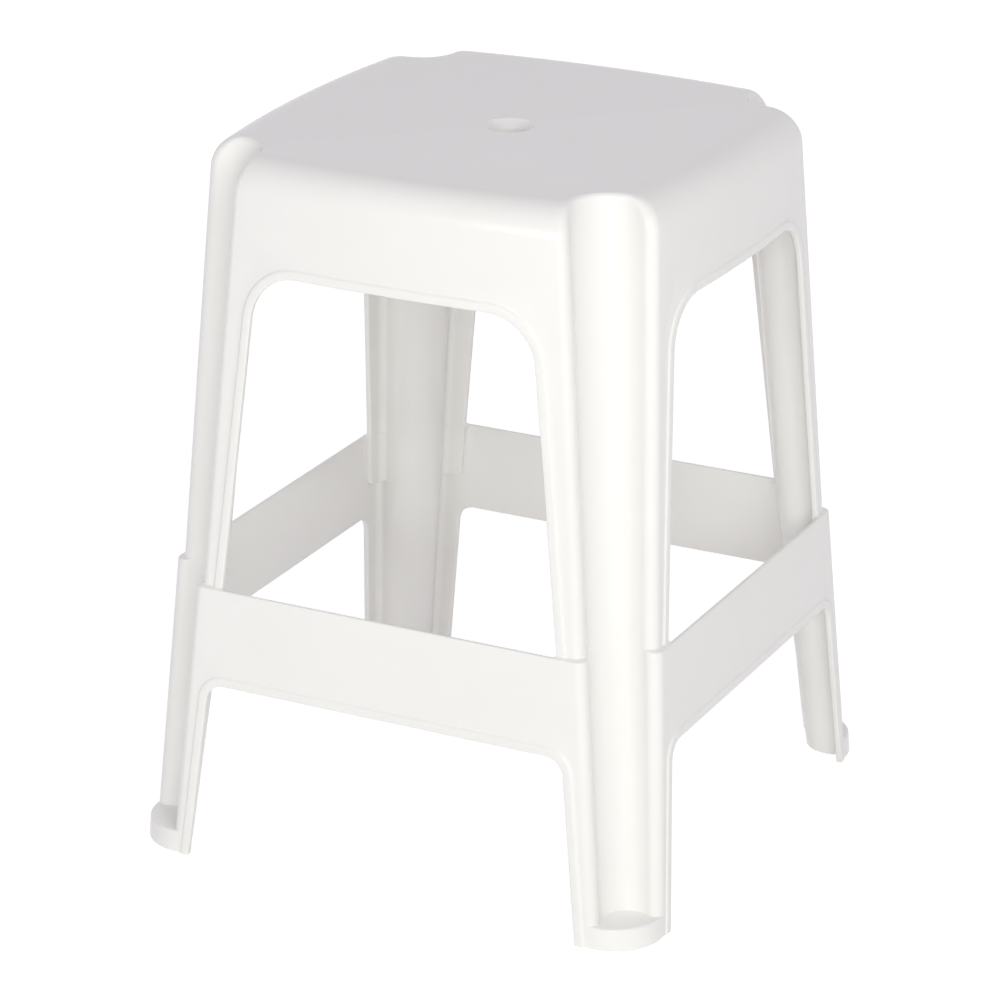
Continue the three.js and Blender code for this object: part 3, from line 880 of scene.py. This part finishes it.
def addCamera(view):
    azimuth = math.radians(view["azimuth"])
    roll = math.radians(view["roll"])
    back = directionTo(view["azimuth"], view["elevation"])
    level = Vector((math.cos(azimuth), math.sin(azimuth), 0))
    upright = back.cross(level)
    right = level * math.cos(roll) + upright * math.sin(roll)
    up = upright * math.cos(roll) - level * math.sin(roll)
    bpy.ops.object.camera_add()
    camera = bpy.context.object
    camera.matrix_world = Matrix((
        (right.x, up.x, back.x, view["target"][0] + back.x * view["distance"]),
        (right.y, up.y, back.y, view["target"][1] + back.y * view["distance"]),
        (right.z, up.z, back.z, view["target"][2] + back.z * view["distance"]),
        (0, 0, 0, 1),
    ))
    camera.data.lens = view["lens"]
    camera.data.shift_x = view["shiftX"]
    camera.data.shift_y = view["shiftY"]
    bpy.context.scene.camera = camera


addCamera(cameraView)
print("camera placed")


def linear(code):
    channels = [int(code[i:i + 2], 16) / 255 for i in (1, 3, 5)]
    return tuple(c / 12.92 if c <= 0.04045 else ((c + 0.055) / 1.055) ** 2.4 for c in channels) + (1.0,)


def addNode(tree, kind, inputs=(), **settings):
    node = tree.nodes.new(kind)
    for key, value in settings.items():
        setattr(node, key, value)
    for key, value in dict(inputs).items():
        if isinstance(value, bpy.types.NodeSocket):
            tree.links.new(value, node.inputs[key])
        else:
            node.inputs[key].default_value = value
    return node


def newMaterial(name):
    material = bpy.data.materials.new(name)
    material.use_nodes = True
    material.node_tree.nodes.clear()
    return material


# Polypropylene, injection moulded in a polished tool and left as moulded. It gives the eye a warm
# white with a clear gloss, whose reflections wander a little where the walls sank in cooling and
# grow softer where hands and other stools have rubbed it. Sizes are in millimetres.
polypropyleneFinish = {
    "colour": "#F4F3F0",
    "flowColour": "#F1F0EC",  # where the melt cooled last
    "flowSize": 70,
    "flowDetail": 2,
    "polish": 0.18,
    "handled": 0.26,
    "handledSize": 24,
    "handledDetail": 4,
    "handledRange": (0.3, 0.7),  # the noise's usual low and high values
    "ior": 1.49,
    "sinkSize": 32,  # the slow waves that make reflections wander
    "sinkDetail": 2,
    "sinkDepth": 0.03,
    "peelSize": 2.2,  # the fine skin of the tool's polish, drawn coarse enough to be seen
    "peelDetail": 2,
    "peelDepth": 0.002,
}
smoothAngle = 40  # in degrees; sharper edges stay crisp


def makePolypropylene(finish):
    material = newMaterial("moulded_polypropylene")
    tree = material.node_tree
    place = addNode(tree, "ShaderNodeTexCoord").outputs["Object"]
    patterns = {}
    for layer in ("flow", "handled", "sink", "peel"):
        pattern = addNode(tree, "ShaderNodeTexNoise", {
            "Vector": place,
            "Scale": 1 / (finish[layer + "Size"] * millimetre),
            "Detail": finish[layer + "Detail"],
        })
        patterns[layer] = pattern.outputs[0]
    colour = addNode(tree, "ShaderNodeMix", {
        0: patterns["flow"],
        6: linear(finish["colour"]),
        7: linear(finish["flowColour"]),
    }, data_type="RGBA")
    gloss = addNode(tree, "ShaderNodeMapRange", {
        "Value": patterns["handled"],
        "From Min": finish["handledRange"][0],
        "From Max": finish["handledRange"][1],
        "To Min": finish["polish"],
        "To Max": finish["handled"],
    })
    sink = addNode(tree, "ShaderNodeBump", {
        "Height": patterns["sink"],
        "Strength": 1,
        "Distance": finish["sinkDepth"] * millimetre,
    })
    peel = addNode(tree, "ShaderNodeBump", {
        "Height": patterns["peel"],
        "Strength": 1,
        "Distance": finish["peelDepth"] * millimetre,
        "Normal": sink.outputs[0],
    })
    shader = addNode(tree, "ShaderNodeBsdfPrincipled", {
        "Base Color": colour.outputs[2],
        "Roughness": gloss.outputs[0],
        "IOR": finish["ior"],
        "Normal": peel.outputs[0],
    })
    addNode(tree, "ShaderNodeOutputMaterial", {"Surface": shader.outputs[0]})
    return material


polypropylene = makePolypropylene(polypropyleneFinish)
for piece in pieces:
    deselectAll()
    piece.select_set(True)
    bpy.context.view_layer.objects.active = piece
    bpy.ops.object.shade_smooth_by_angle(angle=math.radians(smoothAngle))
    piece.data.materials.clear()
    piece.data.materials.append(polypropylene)
print("moulded polypropylene put on", len(pieces), "pieces")

# Floor, lamps and sky: a white set with plain soft light. Sizes and distances are in metres and
# angles in degrees. The key and back lamps light the stool but aren't mirrored in it, because their
# images would blank out the glossy seat from other sides.
lighting = {
    "skyLevel": 0.47,
    "skyColour": "#F7F2FD",
    "lampDistance": 3.2,
    "lampTarget": (0, 0, 0.25),
    "lamps": {
        "key": {
            "power": 24,
            "colour": "#FCFFF9",
            "size": 1.5,
            "azimuth": 50,
            "elevation": 28,
            "isMirrored": False,
        },
        "front": {
            "power": 25,
            "colour": "#FCFFF9",
            "size": 1.1,
            "azimuth": 24,
            "elevation": 12,
            "isMirrored": True,
        },
        "fill": {
            "power": 9,
            "colour": "#FCFFF9",
            "size": 0.9,
            "azimuth": 352,
            "elevation": 13,
            "isMirrored": True,
        },
        "back": {
            "power": 18,
            "colour": "#FBF8FF",
            "size": 1.4,
            "azimuth": 225,
            "elevation": 10,
            "isMirrored": False,
        },
    },
    "floorSize": 16,
    "floorColour": "#A0A0A0",  # what the camera sees is this and the white below, added up
    "floorWhite": 0.82,
    "bounceColour": "#FCFBF9",  # what the floor throws back at the stool
}


# This is 1 for the rays that show the white set: to the camera, in gloss and through clear things.
def seenRays(tree):
    rays = addNode(tree, "ShaderNodeLightPath")
    direct = addNode(tree, "ShaderNodeMath", {
        0: rays.outputs["Is Camera Ray"],
        1: rays.outputs["Is Glossy Ray"],
    }, operation="MAXIMUM")
    seen = addNode(tree, "ShaderNodeMath", {
        0: direct.outputs[0],
        1: rays.outputs["Is Transmission Ray"],
    }, operation="MAXIMUM")
    return seen.outputs[0]


# The floor is clear from below, so that the stool can be looked at from there.
def makeFloor(light):
    deselectAll()
    bpy.ops.mesh.primitive_plane_add(size=light["floorSize"])
    floor = bpy.context.object
    floor.name = "studio_floor"
    material = newMaterial("white_paper")
    tree = material.node_tree
    paper = addNode(tree, "ShaderNodeBsdfDiffuse", {"Color": linear(light["floorColour"])})
    glow = addNode(tree, "ShaderNodeEmission", {"Strength": light["floorWhite"]})
    shown = addNode(tree, "ShaderNodeAddShader", {0: paper.outputs[0], 1: glow.outputs[0]})
    bounce = addNode(tree, "ShaderNodeBsdfDiffuse", {"Color": linear(light["bounceColour"])})
    mix = addNode(tree, "ShaderNodeMixShader", {
        0: seenRays(tree),
        1: bounce.outputs[0],
        2: shown.outputs[0],
    })
    side = addNode(tree, "ShaderNodeNewGeometry")
    clear = addNode(tree, "ShaderNodeBsdfTransparent")
    sided = addNode(tree, "ShaderNodeMixShader", {
        0: side.outputs["Backfacing"],
        1: mix.outputs[0],
        2: clear.outputs[0],
    })
    addNode(tree, "ShaderNodeOutputMaterial", {"Surface": sided.outputs[0]})
    floor.data.materials.append(material)


def makeWorld(light):
    world = bpy.data.worlds.new("white_room")
    world.use_nodes = True
    bpy.context.scene.world = world
    tree = world.node_tree
    tree.nodes.clear()
    ambient = addNode(tree, "ShaderNodeBackground", {
        "Color": linear(light["skyColour"]),
        "Strength": light["skyLevel"],
    })
    white = addNode(tree, "ShaderNodeBackground", {"Color": linear("#FFFFFF"), "Strength": 1})
    mix = addNode(tree, "ShaderNodeMixShader", {
        0: seenRays(tree),
        1: ambient.outputs[0],
        2: white.outputs[0],
    })
    addNode(tree, "ShaderNodeOutputWorld", {"Surface": mix.outputs[0]})


def makeLamp(name, softbox, light):
    target = Vector(light["lampTarget"])
    toLamp = directionTo(softbox["azimuth"], softbox["elevation"])
    bpy.ops.object.light_add(type="AREA", location=target + toLamp * light["lampDistance"])
    lamp = bpy.context.object
    lamp.name = name + "_softbox"
    lamp.data.shape = "SQUARE"
    lamp.data.size = softbox["size"]
    lamp.data.color = linear(softbox["colour"])[:3]
    lamp.data.energy = softbox["power"]
    lamp.visible_glossy = softbox["isMirrored"]
    lamp.rotation_euler = toLamp.to_track_quat("Z", "Y").to_euler()


makeFloor(lighting)
makeWorld(lighting)
for name, softbox in lighting["lamps"].items():
    makeLamp(name, softbox, lighting)
print("floor, sky and", len(lighting["lamps"]), "lamps set up")
bpy.context.scene.view_settings.view_transform = "Standard"
